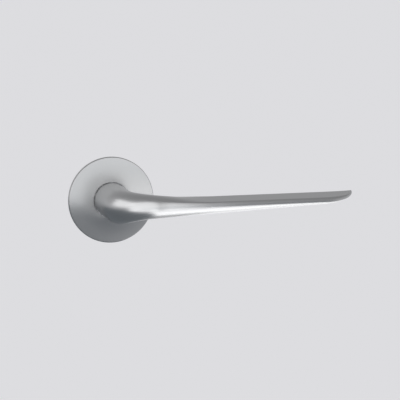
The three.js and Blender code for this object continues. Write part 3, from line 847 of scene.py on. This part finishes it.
finish_piece(lever, "lever_handle", "lever", lever_steel)
finish_piece(make_grub_screw(), "grub_screw", "lever", black_steel)
finish_piece(make_spindle(), "square_spindle", "lever", zinc_plate)
finish_piece(make_retaining_ring(), "retaining_ring", "lever", spring_steel)
rose = make_rose()
finish_piece(rose, "rose_cover", "cover", rose_steel)
finish_piece(make_snap_ring(), "snap_ring", "rose_plate", spring_steel)
finish_piece(make_plate(), "mounting_plate", "rose_plate", zinc_plate)
finish_piece(make_housing(), "spring_housing", "rose_plate", cast_zinc)
finish_piece(make_wave_washer(), "wave_washer", "rose_plate", spring_steel)
finish_piece(make_thrust_washer(), "thrust_washer", "rose_plate", white_acetal)

plate_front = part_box("mounting_plate")[0].y
housing_floor_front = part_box("spring_housing")[1].y - HOUSING_FLOOR
front_bush = make_bush(
    "bearing_bush", "bearing_bush_moulded", BUSH_WALL, plate_front - TOUCH_GAP)
rear_bush = make_bush(
    "rear_bush", "rear_bush_moulded", REAR_BUSH_WALL, housing_floor_front - TOUCH_GAP)
finish_piece(front_bush, "bearing_bush", "rose_plate", white_acetal)
finish_piece(rear_bush, "rear_bush", "rose_plate", white_acetal)

for bolt, post in zip(BOLTS, POSTS):
    thread_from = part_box(post)[1].y - THREAD_IN_POST
    threaded = make_screw(bolt, BOLT_RADIUS, BOLT_PITCH, thread_from)
    finish_piece(threaded, bolt, "rose_plate", zinc_plate)
    finish_piece(make_post(post, bolt), post, "rose_plate", zinc_plate)
for screw in SCREWS:
    threaded = make_screw(screw, SCREW_RADIUS, SCREW_PITCH, SCREW_THREAD_FROM)
    finish_piece(threaded, screw, "rose_plate", zinc_plate)
for pin in PINS:
    finish_piece(make_pin(pin), pin, "rose_plate", spring_steel)

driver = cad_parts["spring_driver"]
driver.data.materials.clear()
driver.data.materials.append(zinc_plate)
softened = driver.modifiers.new("edges", "BEVEL")
softened.width = 0.12 * MM
softened.segments = 2
softened.angle_limit = math.radians(40)

spring = make_spring()
spring.data.materials.append(spring_steel)
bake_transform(spring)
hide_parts("return_spring")


# Floor and light

FLOOR_DROP = 1.05
FLOOR_RADIUS = 100
PALE = 0.735


def add_stage_sheet(name, corners, colour, glow):
    """A flat matt sheet, of its own faint glow, that isn't part of the object."""
    sheet = make_object(name, corners, [tuple(range(len(corners)))])
    material = bpy.data.materials.new(name)
    material.use_nodes = True
    shader = material.node_tree.nodes["Principled BSDF"]
    shader.inputs["Base Color"].default_value = (*colour, 1)
    shader.inputs["Roughness"].default_value = 1.0
    shader.inputs["Specular IOR Level"].default_value = 0.0
    shader.inputs["Emission Color"].default_value = (*glow, 1)
    shader.inputs["Emission Strength"].default_value = 1.0
    sheet.data.materials.append(material)
    return sheet


def add_light(name, centre, facing, width, height, radiance):
    """A soft box of even brightness. Its width lies level."""
    data = bpy.data.lights.new(name, "AREA")
    data.shape = "RECTANGLE"
    data.size, data.size_y = width, height
    data.energy = radiance * math.pi * width * height
    light = bpy.data.objects.new(name, data)
    light.location = centre
    light.rotation_euler = Vector(facing).to_track_quat("-Z", "Y").to_euler()
    light.visible_camera = False
    bpy.context.scene.collection.objects.link(light)
    return light


def link_light(light, piece, state):
    """Light the piece alone (INCLUDE) or everything but the piece (EXCLUDE)."""
    receivers = bpy.data.collections.new(f"{light.name}_receivers")
    receivers.objects.link(piece)
    receivers.collection_objects[0].light_linking.link_state = state
    light.light_linking.receiver_collection = receivers


def add_world(front_stops, back_stops):
    """Sky that changes with height, differently in front of the handle and behind it."""
    world = bpy.data.worlds.new("studio")
    world.use_nodes = True
    bpy.context.scene.world = world
    nodes, links = world.node_tree.nodes, world.node_tree.links
    where = nodes.new("ShaderNodeTexCoord")
    split = nodes.new("ShaderNodeSeparateXYZ")
    links.new(where.outputs["Generated"], split.inputs["Vector"])

    def sky(stops):
        ramp = nodes.new("ShaderNodeValToRGB")
        links.new(split.outputs["Z"], ramp.inputs["Fac"])
        elements = ramp.color_ramp.elements
        while len(elements) < len(stops):
            elements.new(0.5)
        for element, (height, value) in zip(elements, stops):
            element.position = height
            element.color = (value, value, value * 1.02, 1)
        return ramp.outputs["Color"]

    side = nodes.new("ShaderNodeMapRange")
    side.interpolation_type = "SMOOTHSTEP"
    side.inputs["From Min"].default_value = -0.5
    side.inputs["From Max"].default_value = 0.5
    links.new(split.outputs["Y"], side.inputs["Value"])
    both = nodes.new("ShaderNodeMixRGB")
    links.new(side.outputs["Result"], both.inputs["Fac"])
    links.new(sky(front_stops), both.inputs["Color1"])
    links.new(sky(back_stops), both.inputs["Color2"])
    links.new(both.outputs["Color"], nodes["Background"].inputs["Color"])


rim = [
    (FLOOR_RADIUS * math.cos(a), FLOOR_RADIUS * math.sin(a), -FLOOR_DROP)
    for a in full_turn(64)
]
add_stage_sheet("floor", rim, colour=(0.5, 0.5, 0.51), glow=(0.495, 0.495, 0.508))
add_world(
    front_stops=[(0.0, PALE), (0.2, 0.5), (0.5, 0.40), (1.0, 0.40)],
    back_stops=[(0.0, PALE), (0.3, 0.6), (0.6, 0.5), (1.0, 0.40)],
)

# Five soft boxes light all but the rose. The sixth, close above its middle, lights the rose alone,
# so that its upper half is bright and its lower half dark.
UP, TO_DOOR = (0, 0, 1), (0, 1, 0)
for name, centre, facing, width, height, radiance, rose_state in [
    ("front", (-0.06, -0.17, 0.085), TO_DOOR, 0.26, 0.29, 1.3, "EXCLUDE"),
    ("on_rose", (0.0, -0.034, 0.024), TO_DOOR, 0.14, 0.062, 1.0, "INCLUDE"),
    ("left", (-0.7, -0.1, 0.4), (1, 0.1, -0.55), 0.8, 0.6, 1.3, "EXCLUDE"),
    ("low_front", (0.2, -0.9, -0.35), UP, 0.3, 0.8, 1.05, "EXCLUDE"),
    ("below", (0.17, -0.265, -0.35), UP, 0.24, 0.47, 1.8, "EXCLUDE"),
    ("below_behind", (0.17, 0.10, -0.12), UP, 0.18, 0.31, 1.0, "EXCLUDE"),
]:
    light = add_light(name, centre, facing, width, height, radiance)
    link_light(light, rose, rose_state)

# Dark cards that only reflections see, one far in front and one below the rose
for name, corners, glow in [
    ("front_flag", [
        (-0.5, -1.1, -0.25), (0.9, -1.1, -0.25), (0.9, -1.1, 0.10), (-0.5, -1.1, 0.10),
    ], (0.17, 0.195, 0.22)),
    ("low_flag", [
        (-0.10, -0.10, -0.005), (0.03, -0.10, -0.07), (0.03, 0.10, -0.07), (-0.10, 0.10, -0.005),
    ], (0.19, 0.21, 0.23)),
]:
    flag = add_stage_sheet(name, corners, (0, 0, 0), glow)
    flag.visible_camera = False
    flag.visible_shadow = False
